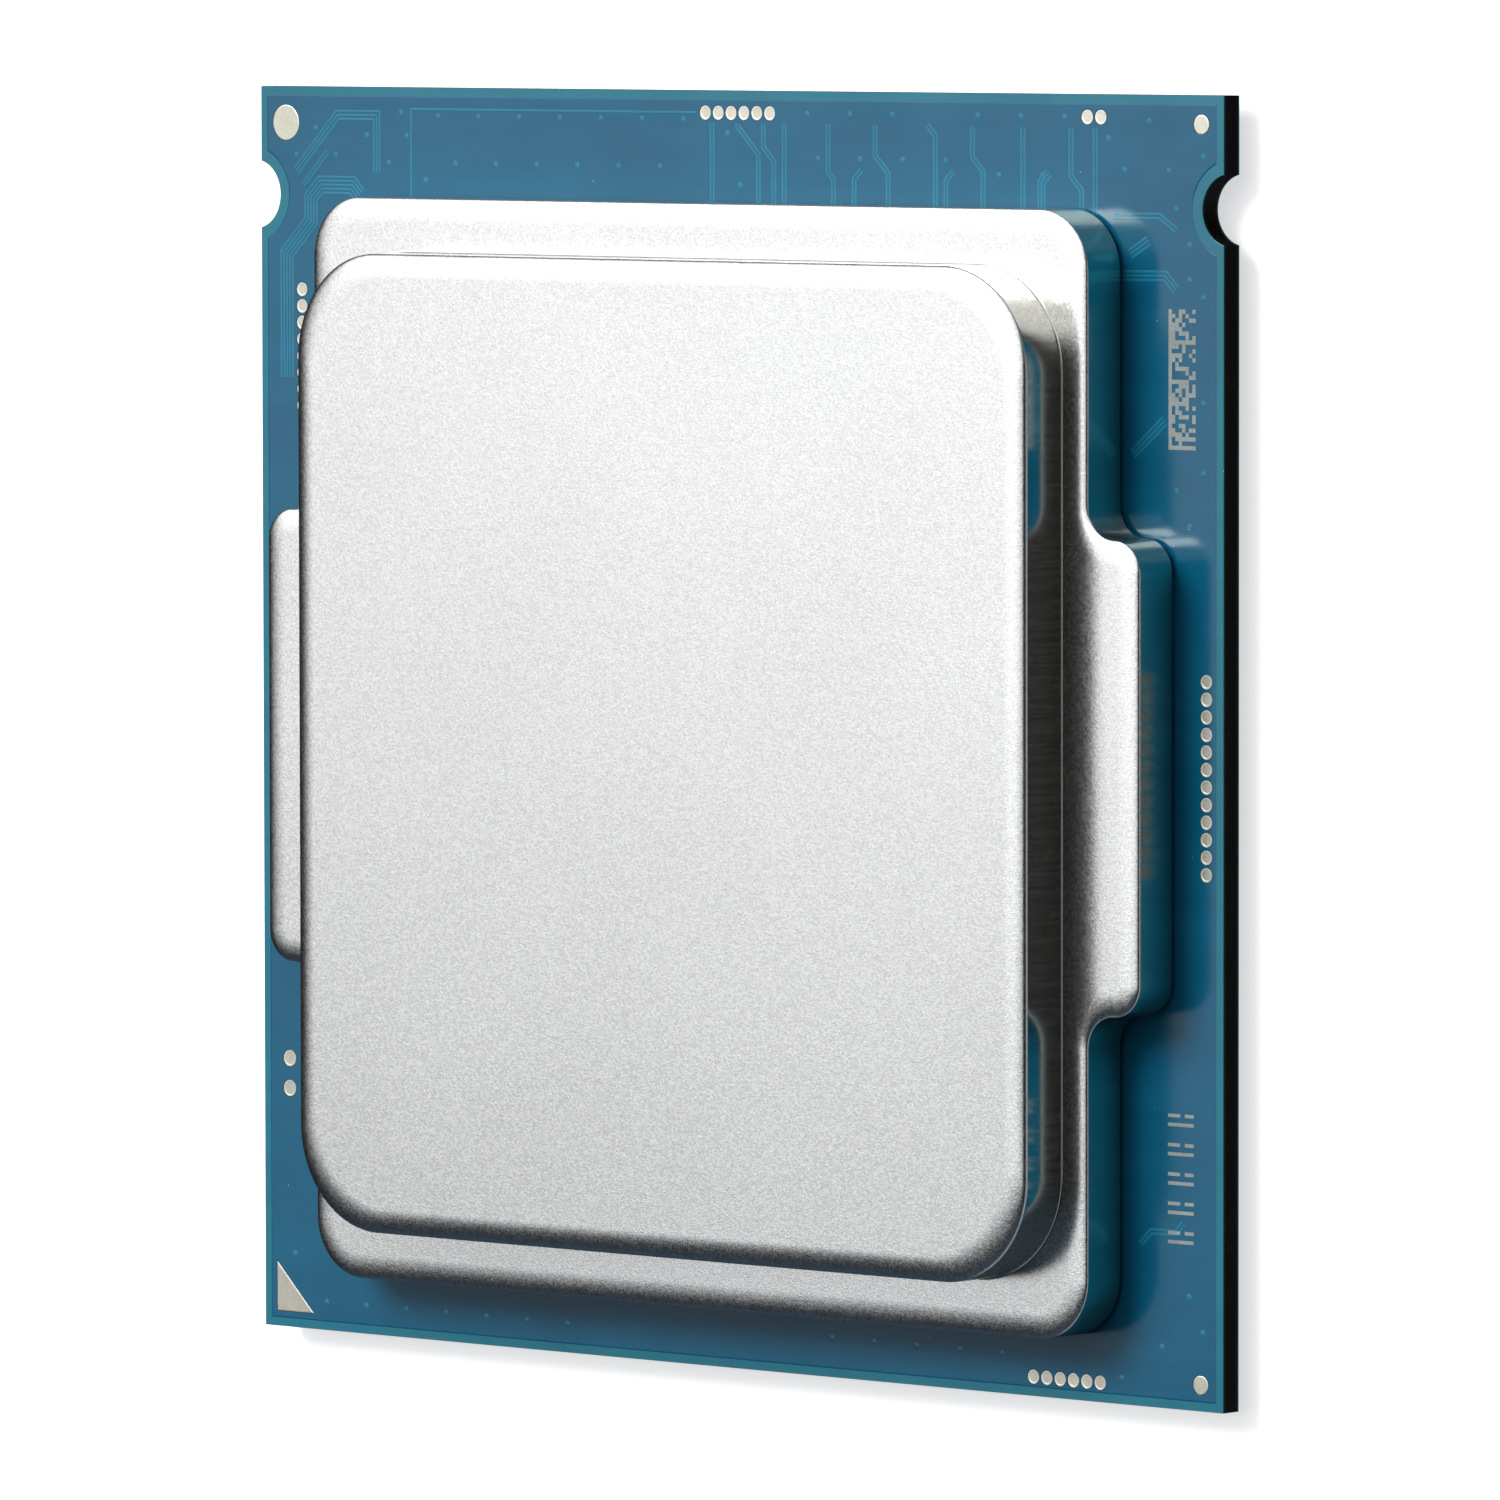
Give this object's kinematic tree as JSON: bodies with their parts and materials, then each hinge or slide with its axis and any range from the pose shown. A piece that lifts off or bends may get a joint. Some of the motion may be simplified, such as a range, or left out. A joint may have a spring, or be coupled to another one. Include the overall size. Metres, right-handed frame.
{
  "type": "processor package",
  "caption": "Square desktop processor package: thin laminate substrate with side key notches, flat contact lands below and a stepped nickel-plated heat-spreader lid on top.",
  "frame": {"origin": "under the centre of the square substrate, level with the undersides of the land-side capacitors on which the package rests", "axes": "+Z out of the lid's top face, +X across the two key notches, +Y towards the edge that the notches are near, pin 1 at -X -Y"},
  "size_m": [0.0376, 0.0376, 0.0046],
  "materials": {
    "nickel_plate": "matte nickel plate on copper, fine blasted top faces and smooth side walls",
    "silicone_sealant": "satin black silicone",
    "thermal_interface": "matte grey filled polymer",
    "silicon": "polished dark silicon",
    "bump_solder": "satin solder",
    "underfill_resin": "satin dark epoxy",
    "solder_mask": "glossy blue solder mask",
    "copper_plane": "plated copper",
    "build_up_resin": "matte dark build-up resin",
    "laminate_core": "matte dark brown glass-fibre laminate",
    "gold_plate": "satin thin gold over nickel",
    "capacitor_ceramic": "matte brown ceramic with tinned ends"
  },
  "bodies": {
    "root": {"heat_spreader": "nickel_plate", "lid_sealant": "silicone_sealant", "thermal_interface_layer": "thermal_interface", "silicon_die": "silicon", "die_bump_array": "bump_solder", "die_underfill": "underfill_resin", "top_solder_mask": "solder_mask", "bottom_solder_mask": "solder_mask", "top_copper_layer": "copper_plane", "bottom_copper_layer": "copper_plane", "top_build_up": "build_up_resin", "bottom_build_up": "build_up_resin", "substrate_core": "laminate_core", "land_field": "gold_plate", "pin_1_marker": "gold_plate", "fiducial_top_left": "gold_plate", "fiducial_top_right": "gold_plate", "fiducial_bottom_right": "gold_plate", "test_pads_top_centre": "gold_plate", "test_pads_top_right": "gold_plate", "test_pads_left_upper": "gold_plate", "test_pads_left_lower": "gold_plate", "test_pads_right": "gold_plate", "test_pads_bottom_right": "gold_plate", "capacitor_01": "capacitor_ceramic", "capacitor_02": "capacitor_ceramic", "capacitor_03": "capacitor_ceramic", "capacitor_04": "capacitor_ceramic", "capacitor_05": "capacitor_ceramic", "capacitor_06": "capacitor_ceramic", "capacitor_07": "capacitor_ceramic", "capacitor_08": "capacitor_ceramic", "capacitor_09": "capacitor_ceramic", "capacitor_10": "capacitor_ceramic", "capacitor_11": "capacitor_ceramic", "capacitor_12": "capacitor_ceramic", "capacitor_13": "capacitor_ceramic", "capacitor_14": "capacitor_ceramic", "capacitor_15": "capacitor_ceramic", "capacitor_16": "capacitor_ceramic", "capacitor_17": "capacitor_ceramic", "capacitor_18": "capacitor_ceramic", "capacitor_19": "capacitor_ceramic", "capacitor_20": "capacitor_ceramic", "capacitor_21": "capacitor_ceramic", "capacitor_22": "capacitor_ceramic", "capacitor_23": "capacitor_ceramic", "capacitor_24": "capacitor_ceramic"}
  },
  "joints": []
}
